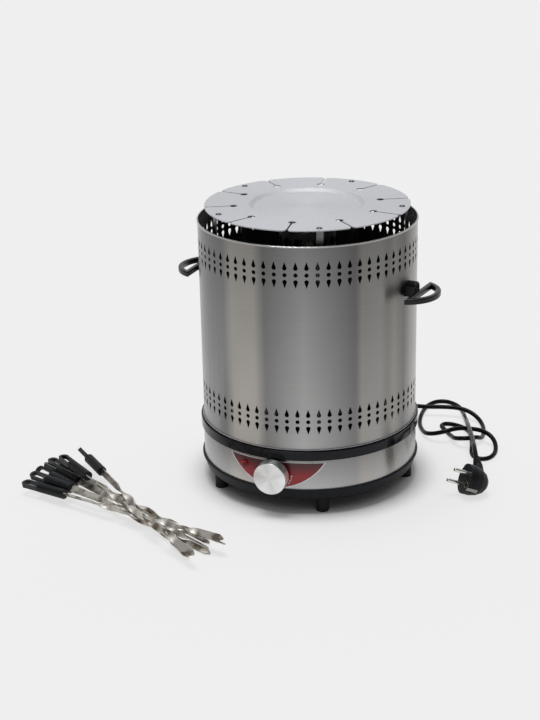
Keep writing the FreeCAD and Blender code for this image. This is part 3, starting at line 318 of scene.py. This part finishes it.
def brushed(name, color, roughness, pull, grain, axis=None):
    """Metal with fine brushing that pulls reflections out across the grain."""
    recipe = Recipe(name, Metallic=1.0, Roughness=roughness, Anisotropic=pull,
                    Anisotropic_Rotation=0.25)
    if axis:
        tangent = recipe.node("ShaderNodeTangent", {"direction_type": "RADIAL", "axis": axis})
        recipe.link(tangent.outputs["Tangent"], "Tangent")
    lines = recipe.noise(1.0, grain, detail=LINE_DETAIL, roughness=LINE_ROUGHNESS)
    patches = recipe.noise(PATCH_FINENESS, detail=3.0)
    below, above = BRUSHED_SWING
    recipe.paint(recipe.ramp(lines, shades(color, BRUSHED_SHADES)))
    recipe.roughen(patches, roughness - below, roughness + above)
    recipe.bump(lines, *BRUSHED_RELIEF)
    return recipe


# painted reflections of the studio, as soft bands round the drum, by azimuth: tone, and whether
# it is warm
PAINTED_STREAKS = [
    (-180, 0.9, False), (-140, 0.7, True), (-105, 0.95, False), (-50, 0.64, False),
    (-30, 0.7, False), (-24, 1.12, True), (-10, 1.1, True), (-4, 0.62, False),
    (16, 1.04, False), (43, 0.5, False), (46, 0.8, True), (58, 0.84, False), (63, 0.68, True),
    (68, 0.82, True), (77, 0.5, False), (86, 0.85, True), (104, 1.05, False),
    (136, 0.75, False), (160, 1.05, True), (180, 0.9, False),
]
PAINTED_STREAK_LEVEL = 0.7
PAINTED_STREAK_WARM = (1.03, 1.0, 0.95)
PAINTED_STREAK_COOL = (0.99, 1.0, 1.02)
PAINTED_FLOOR_REFLECTION = (2.1, 1.05)     # brightening by the painted floor reflection at the sheet's lower and upper edge
SKIRT_PAINTED_STREAKS = 0.4         # strength of the painted reflection bands on the skirt, where 1 is the drum's
# painted highlight along the casing's rolled rim, and painted shade on its inner face
CASING_RIM = 1.8 * MM
PAINTED_RIM_HIGHLIGHT = (0.42, 0.412, 0.4, 1)
PAINTED_INSIDE_SHADE = (0.05, 0.047, 0.045, 1)


def rolled_sheet(name, node, painted_strength=1.0):
    """Brushed sheet bent into a drum, with painted reflections: soft bands round it, and a
    painted floor reflection that makes it paler towards its lower edge.
    """
    recipe = brushed(name, *BRUSHED[name])
    low, high = (corner[2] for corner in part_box(node))
    parts = recipe.parts(recipe.node("ShaderNodeTexCoord").outputs["Object"])
    stops = []
    for azimuth, tone, warm in PAINTED_STREAKS:
        level = PAINTED_STREAK_LEVEL * (1 + painted_strength * (tone - 1))
        tint = PAINTED_STREAK_WARM if warm else PAINTED_STREAK_COOL
        stops.append((azimuth, tuple(level * part for part in tint)))
    # painted reflections: bands by azimuth, multiplied by a painted floor reflection that is
    # paler low down
    painted_streaks = recipe.vectors("MULTIPLY", recipe.color, recipe.azimuth_ramp(parts, stops))
    floor_reflection = recipe.ranged(parts["Z"], low, high, *PAINTED_FLOOR_REFLECTION)
    recipe.paint(recipe.vectors("MULTIPLY", painted_streaks, floor_reflection))
    return recipe


def casing_steel():
    """The drum's sheet, with a painted highlight along its rolled rim and painted shade on its
    inside.
    """
    recipe = rolled_sheet("casing_steel", "casing")
    coords = recipe.node("ShaderNodeTexCoord").outputs
    height = recipe.parts(coords["Object"])["Z"]
    # rim marks the painted highlight; where outside is 0 the inner face takes painted shade
    rim = recipe.math("GREATER_THAN", height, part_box("casing")[1][2] - CASING_RIM)
    facing = recipe.vectors("DOT_PRODUCT", coords["Normal"], coords["Object"])
    outside = recipe.math("GREATER_THAN", facing, 0.0)
    recipe.paint(recipe.blend(outside, PAINTED_INSIDE_SHADE, recipe.blend(rim, recipe.color, PAINTED_RIM_HIGHLIGHT)))
    return recipe


# painted reflections: dark patches on the skewers' steel
REFLECTION_PATCH_FINENESS = 55.0
PAINTED_REFLECTION_STOPS = [(0.38, (0.34, 0.3, 0.26)), (0.52, (1, 1, 1))]


def blade_steel():
    """Steel of the skewers, darkened in patches by painted reflections."""
    recipe = brushed("blade_steel", *BRUSHED["blade_steel"])
    painted_patches = recipe.ramp(recipe.noise(REFLECTION_PATCH_FINENESS, detail=2.0), PAINTED_REFLECTION_STOPS)
    recipe.paint(recipe.vectors("MULTIPLY", recipe.color, painted_patches))
    return recipe


# tones of the painted reflections on the knob's face, by share of a turn
KNOB_PAINTED_FANS = [
    (0.0, 1.0), (0.08, 0.86), (0.17, 1.0), (0.3, 0.8), (0.36, 0.97), (0.5, 1.0), (0.57, 0.84),
    (0.68, 1.0), (0.8, 0.87), (0.86, 1.0), (1.0, 1.0),
]


def knob_aluminium():
    """Aluminium turned on a lathe: its fine rings pull reflections out round its axis, and a fan
    of painted reflections by turn is laid over its colour.
    """
    recipe = brushed("knob_aluminium", *BRUSHED["knob_aluminium"])
    low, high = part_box("knob_shell")
    parts = recipe.parts(recipe.place())
    rise = recipe.math("SUBTRACT", parts["Z"], (low[2] + high[2]) / 2)
    across = recipe.math("SUBTRACT", parts["X"], (low[0] + high[0]) / 2)
    turn = recipe.turn(rise, across)
    painted_fans = recipe.ramp(turn, [(share, (tone, tone, tone)) for share, tone in KNOB_PAINTED_FANS])
    recipe.paint(recipe.vectors("MULTIPLY", recipe.color, painted_fans))
    return recipe


# --- plastics, rubber and paint ----------------------------------------------------------------
# colour, roughness, fineness and depth of the grain, and strength of the gloss
COATED = {
    "tray_black": ((0.013, 0.014, 0.017), 0.42, 1900, 0.00006, 0.14),
    "foot_rubber": ((0.009, 0.009, 0.011), 0.6, 1500, 0.0001, 0.2),
    "black_plastic": ((0.006, 0.006, 0.007), 0.26, 1400, 0.00004, 0.3),
    "grip_plastic": ((0.009, 0.010, 0.012), 0.36, 1600, 0.00005, 0.3),
    "plug_black": ((0.007, 0.008, 0.010), 0.42, 1500, 0.00006, 0.16),
    "cord_black": ((0.004, 0.004, 0.005), 0.2, 1200, 0.00001, 0.1),
    "ceramic": ((0.74, 0.71, 0.64), 0.55, 900, 0.0001),
    "gear_plastic": ((0.68, 0.66, 0.6), 0.42, 1100, 0.00004),
    "white_print": ((0.80, 0.80, 0.79), 0.35, 900, 0.00001),
    "black_enamel": ((0.008, 0.008, 0.011), 0.12, 700, 0.00002, 0.2),
    "quartz": ((0.93, 0.94, 0.94), 0.12, 300, 0.00002),
    "lamp_red": ((0.42, 0.012, 0.01), 0.16, 500, 0.00002),
}
COATED_SHADES = (0.82, 1.18)
COATED_SWING = (0.04, 0.05)
COATED_RELIEF = 0.35
MOTTLE_FINENESS = 9.0
PLAIN_GLOSS = 0.5


def coated(name, color, roughness, fineness, depth, gloss=PLAIN_GLOSS):
    """Moulded plastic, rubber or a painted skin with a fine texture."""
    recipe = Recipe(name, Specular_IOR_Level=gloss)
    mottle = recipe.noise(MOTTLE_FINENESS, detail=3.0)
    below, above = COATED_SWING
    recipe.paint(recipe.ramp(mottle, shades(color, COATED_SHADES)))
    recipe.roughen(mottle, roughness - below, roughness + above)
    recipe.bump(recipe.noise(fineness, detail=3.0), COATED_RELIEF, depth)
    return recipe


LIP_RISE = 7.3 * MM          # from the casing's lower edge to the top of the deck's lip, where a highlight is painted
LIP_RADIUS = 128.0 * MM      # the lip lies beyond this
LIP_PAINTED_HIGHLIGHT = (0.42, 0.42, 0.44, 1)


def black_enamel():
    """Glossy black enamel, with a thin painted highlight along the top of the lip round the
    casing.
    """
    recipe = coated("black_enamel", *COATED["black_enamel"])
    spot = recipe.place()
    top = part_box("casing")[0][2] + LIP_RISE
    above = recipe.math("GREATER_THAN", recipe.parts(spot)["Z"], top)
    beyond = recipe.math("GREATER_THAN", recipe.off_axis(spot), LIP_RADIUS)
    # edge marks the painted highlight on the lip's top
    edge = recipe.math("MULTIPLY", above, beyond)
    recipe.paint(recipe.blend(edge, recipe.color, LIP_PAINTED_HIGHLIGHT))
    return recipe


QUARTZ_CLEAR = 0.85
QUARTZ_IOR = 1.46


def quartz():
    """Clear tube of the heater."""
    recipe = coated("quartz", *COATED["quartz"])
    recipe.attach(recipe.shader.inputs["Transmission Weight"], QUARTZ_CLEAR)
    recipe.attach(recipe.shader.inputs["IOR"], QUARTZ_IOR)
    return recipe


# colours of the lens from its middle outwards, by share of its radius: the red of the lens, dark
# in the middle with painted shade of the lamp's pit
LENS_AND_PAINTED_PIT_STOPS = [(0.25, (0.05, 0.002, 0.002)), (0.5, (0.16, 0.006, 0.006)),
              (0.75, (0.55, 0.02, 0.016)), (0.95, (0.25, 0.01, 0.01))]


def lamp_red():
    """Clear red lens, with painted shade of the lamp's pit behind its middle."""
    recipe = coated("lamp_red", *COATED["lamp_red"])
    low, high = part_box("pilot_lens")
    middle = ((low[0] + high[0]) / 2, low[1], (low[2] + high[2]) / 2)
    reach = recipe.vectors("LENGTH", recipe.vectors("SUBTRACT", recipe.place(), middle))
    share = recipe.ranged(reach, 0.0, (high[0] - low[0]) / 2)
    recipe.paint(recipe.ramp(share, LENS_AND_PAINTED_PIT_STOPS))
    return recipe


# front plate: half-width along its straight edge, depth below it and width of its white outline
PLATE_HALF = 59.2 * MM
PLATE_DEPTH = 34.0 * MM
OUTLINE = 1.2 * MM
TOP_OUTLINE = 0.7 * MM
OUTLINE_WHITE = (0.9, 0.9, 0.89, 1)
# red of the foil by height, darkened towards the top by painted shade under the deck's band
RED_AND_PAINTED_SHADE_STOPS = [(0.1, (0.37, 0.016, 0.024)), (0.5, (0.38, 0.015, 0.022)),
              (0.9, (0.09, 0.012, 0.018))]
FOIL_FINENESS = 900.0
FOIL_SPECKLE = 0.06
FOIL_ROUGHNESS = (0.28, 0.35)
FOIL_RELIEF = (0.2, 0.00002)


def front_red():
    """Printed foil: red, darkened towards the top by painted shade under the deck's band and
    brighter below, with a white line round it.
    """
    recipe = Recipe("front_red", Coat_Weight=0.28, Coat_Roughness=0.08, Roughness=0.3,
                    Specular_IOR_Level=0.35)
    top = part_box("control_plate")[1][2]
    arc_radius = (PLATE_HALF ** 2 + PLATE_DEPTH ** 2) / (2 * PLATE_DEPTH)
    arc_height = top - PLATE_DEPTH + arc_radius
    parts = recipe.parts(recipe.place())
    share = recipe.ranged(parts["Z"], top - PLATE_DEPTH, top)
    fine = recipe.noise(FOIL_FINENESS, detail=2.0)
    # foil holds the red together with its painted shade
    foil = recipe.ramp(recipe.math("MULTIPLY_ADD", fine, FOIL_SPECKLE, share), RED_AND_PAINTED_SHADE_STOPS)
    rise = recipe.math("SUBTRACT", parts["Z"], arc_height)
    across = recipe.math("MULTIPLY", parts["X"], parts["X"])
    reach = recipe.math("SQRT", recipe.math("MULTIPLY_ADD", rise, rise, across))
    outer = recipe.math("GREATER_THAN", reach, arc_radius - OUTLINE)
    upper = recipe.math("GREATER_THAN", parts["Z"], top - TOP_OUTLINE)
    line = recipe.math("MAXIMUM", outer, upper)
    recipe.paint(recipe.blend(line, foil, OUTLINE_WHITE))
    recipe.roughen(fine, *FOIL_ROUGHNESS)
    recipe.bump(fine, *FOIL_RELIEF)
    return recipe


# --- finishes of all pieces --------------------------------------------------------------------
def make_materials():
    special = [
        casing_steel(), rolled_sheet("skirt_steel", "base_skirt", SKIRT_PAINTED_STREAKS), blade_steel(),
        knob_aluminium(), black_enamel(), quartz(), lamp_red(), front_red(),
    ]
    materials = {recipe.name: recipe.material for recipe in special}
    for make, looks in ((brushed, BRUSHED), (coated, COATED)):
        for name, look in looks.items():
            if name not in materials:
                materials[name] = make(name, *look).material
    return materials


# heater_guard takes guard_steel, whose near-black colour is painted shade
CLOSER_FINISHES = {"base_skirt": "skirt_steel", "heater_guard": "guard_steel",
                   "plug_earth_clips": "clip_metal"}


def dress_nodes(materials):
    """Every carried-over solid takes the finish of its own slot, or a closer one."""
    for part in frame["record"]["subparts"]:
        name = part["node"]
        finish = CLOSER_FINISHES.get(name, part["material_slot"])
        if name.startswith("skewer_handle_"):
            finish = "grip_plastic"
        data = frame["nodes"][name].data
        data.materials.clear()
        data.materials.append(materials[finish])


# --- mains lead --------------------------------------------------------------------------------
CORD_DIAMETER = 5.8          # millimetres, like the route
CORD_POINTS = [
    (0, 138, 45), (0, 165, 45), (9, 184, 41), (24, 194, 32), (41, 197, 24),
    (58, 198, 18), (79, 203, 13.5), (99, 209, 12), (119, 214, 12.5), (140, 215, 13),
    (156, 211, 11), (169, 203, 6), (177, 191, 3), (182, 176, 3), (185, 160, 3),
    (186, 145, 4), (182, 130, 11), (177, 121.5, 12.5), (169, 117, 13), (160, 119, 11),
    (153.5, 127, 7.5), (148, 138, 4.5), (141, 149, 3), (135, 158, 3), (129.5, 165, 3),
    (125.5, 172.5, 3), (129, 180, 3), (137, 181, 3), (148, 178, 3), (158, 172, 3),
    (166, 162, 3), (171.5, 148, 3), (176, 132, 3), (179.5, 117, 3), (182, 103, 3),
    (185.5, 92, 3), (191, 84.5, 3), (199.5, 82, 3), (207, 86.5, 3), (211, 96, 3),
    (212, 108, 3.5), (210, 120, 6), (205, 131, 10), (196, 139, 14), (184, 144, 15.5),
    (171, 146, 15), (159, 142, 16), (149, 133, 16.5), (138, 126, 14), (126, 125.5, 10.5),
    (115, 132, 7), (107, 146, 4), (99, 163, 3), (94, 181, 3), (91, 201, 3),
    (90, 221, 3), (92, 239, 3), (99, 252, 3), (111, 257, 3), (123, 252, 3),
    (133.5, 243, 3), (142.5, 226, 3), (151, 200, 7), (164.5, 151.5, 21.3), (175, 119, 27),
    (185, 88.5, 30.4), (193.5, 61.5, 33),
    (198.96, 41.73, 35.34), (204.37, 27.84, 29.51),
]


def make_cord(materials):
    """One smooth cord from the grommet at the back of the skirt to the plug."""
    data = bpy.data.curves.new("mains_lead", "CURVE")
    data.dimensions = "3D"
    data.bevel_depth = 0.5 * CORD_DIAMETER * MM
    data.bevel_resolution = 5
    data.resolution_u = 6
    data.use_fill_caps = True
    line = data.splines.new("NURBS")
    line.points.add(len(CORD_POINTS) - 1)
    for point, (x, y, z) in zip(line.points, CORD_POINTS):
        point.co = (x * MM, y * MM, z * MM, 1)
    line.order_u = 3
    line.use_endpoint_u = True
    line.use_smooth = True
    data.materials.append(materials["cord_black"])
    lead = bpy.data.objects.new("mains_lead", data)
    bpy.context.collection.objects.link(lead)
    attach(lead, "base")
    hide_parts("cord")


# --- pieces made of faces ----------------------------------------------------------------------
LATHE_STEPS = 32


def add_lathe(build, outline, center):
    """Spin an outline of (radius, height) points about an upright line through the center.

    Faces beyond the outline's second point take the piece's second material.
    """
    rings = []
    for radius, height in outline:
        if radius == 0:
            rings.append([build.verts.new((center[0], center[1], center[2] + height * MM))])
            continue
        ring = []
        for step in range(LATHE_STEPS):
            angle = 2 * math.pi * step / LATHE_STEPS
            ring.append(build.verts.new((center[0] + radius * MM * math.cos(angle),
                                         center[1] + radius * MM * math.sin(angle),
                                         center[2] + height * MM)))
        rings.append(ring)
    for number, (upper, lower) in enumerate(zip(rings, rings[1:])):
        for step in range(LATHE_STEPS):
            after = (step + 1) % LATHE_STEPS
            corners = [upper[step % len(upper)], lower[step % len(lower)],
                       lower[after % len(lower)], upper[after % len(upper)]]
            face = build.faces.new(list(dict.fromkeys(corners)))
            face.smooth = True
            face.material_index = int(number > 0)


def make_piece(name, build, material, body):
    """Turn a bmesh into a named piece that rides on a body."""
    bmesh.ops.recalc_face_normals(build, faces=build.faces)
    mesh = bpy.data.meshes.new(name)
    build.to_mesh(mesh)
    build.free()
    mesh.materials.append(material)
    piece = bpy.data.objects.new(name, mesh)
    bpy.context.collection.objects.link(piece)
    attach(piece, body)
    return piece


# --- rivets of the straps, in millimetres ------------------------------------------------------
RIVET_COUNT = 5
RIVET_AZIMUTH = 25.3
RIVET_CIRCLE = 112.4
RIVET_HOLE = [(0, 0.2), (1.5, 0.25)]
RIVET_ROLL = 0.95            # radius of the rolled edge round the hole
RIVET_ROLL_CIRCLE = 2.6
RIVET_ROLL_ANGLES = [165 - 19.5 * step for step in range(9)]
RIVET_HEAD = 3.75
RIVET_BRIM = 0.1
RIVET_SHANK = 1.6
RIVET_UNDER = 0.9
RIVET_UNDER_BRIM = 0.4
RIVET_UNDER_SLOPE = 0.5
STRAP_THICKNESS = 1.5
DISC_THICKNESS = 1.2
DECK_THICKNESS = 1.0


def rivet_outline(grip):
    """Tubular rivet from its hole, over the rolled edge and down to the head underneath."""
    outline = list(RIVET_HOLE)
    for degrees in RIVET_ROLL_ANGLES:
        angle = math.radians(degrees)
        outline.append((RIVET_ROLL_CIRCLE + RIVET_ROLL * math.cos(angle),
                        RIVET_ROLL * math.sin(angle)))
    outline += [(RIVET_HEAD, RIVET_BRIM), (RIVET_HEAD, 0), (RIVET_SHANK, 0),
                (RIVET_SHANK, -grip), (RIVET_HEAD, -grip), (RIVET_HEAD, -grip - RIVET_UNDER_BRIM),
                (RIVET_HEAD - RIVET_UNDER_SLOPE, -grip - RIVET_UNDER), (0, -grip - RIVET_UNDER)]
    return outline


def make_rivets(materials):
    """Tubular rivets through the disc and the deck, one pair for each strap."""
    disc_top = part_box("top_disc")[1][2]
    foot_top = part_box("support_strap_1")[0][2] + STRAP_THICKNESS * MM
    build = bmesh.new()
    for number in range(RIVET_COUNT):
        angle = math.radians(RIVET_AZIMUTH + 360 / RIVET_COUNT * number)
        across = RIVET_CIRCLE * MM * math.sin(angle)
        along = -RIVET_CIRCLE * MM * math.cos(angle)
        for sheet, top in ((DISC_THICKNESS, disc_top), (DECK_THICKNESS, foot_top)):
            add_lathe(build, rivet_outline(sheet + STRAP_THICKNESS), (across, along, top))
    rivets = make_piece("tubular_rivets", build, materials["disc_steel"], "base")
    # the rolled edges and heads take rivet_steel, whose near-black colour is painted shade
    rivets.data.materials.append(materials["rivet_steel"])
    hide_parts("strap_rivets")


# --- marks beside the knob, in millimetres and degrees -----------------------------------------
MARK_CIRCLE = 20.6
MARK_PROUD = 0.1             # above the front plate
MARK_ARROW = (-6.0, 1.5, 3)  # angle, size and number of corners
MARK_DOTS = [(angle, 0.75, 10) for angle in (-15.0, -22.0, -28.5, -34.5)]


def mark_point(across, height):
    """Point on the front plate, by its place across and its height above the knob's axis."""
    surface = MARK_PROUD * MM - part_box("control_plate")[0][1]
    depth = math.sqrt(surface ** 2 - (across * MM) ** 2)
    low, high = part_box("knob_shell")
    return (across * MM, -depth, (low[2] + high[2]) / 2 + height * MM)


def make_dial_marks(materials):
    """A small arrow and four dots printed beside the knob."""
    build = bmesh.new()
    for angle, size, corners in [MARK_ARROW] + MARK_DOTS:
        turn = math.radians(angle)
        middle = (MARK_CIRCLE * math.cos(turn), MARK_CIRCLE * math.sin(turn))
        points = []
        for corner in range(corners):
            spin = turn + math.pi + 2 * math.pi * corner / corners
            points.append(build.verts.new(mark_point(middle[0] + size * math.cos(spin),
                                                     middle[1] + size * math.sin(spin))))
        build.faces.new(points)
    make_piece("dial_marks", build, materials["white_print"], "base")


# --- the whole scene ---------------------------------------------------------------------------
make_camera()
materials = make_materials()
make_cord(materials)
dress_nodes(materials)
make_rivets(materials)
make_dial_marks(materials)
make_sky()
make_sun()
make_floor()
bpy.context.scene.view_settings.view_transform = "Standard"
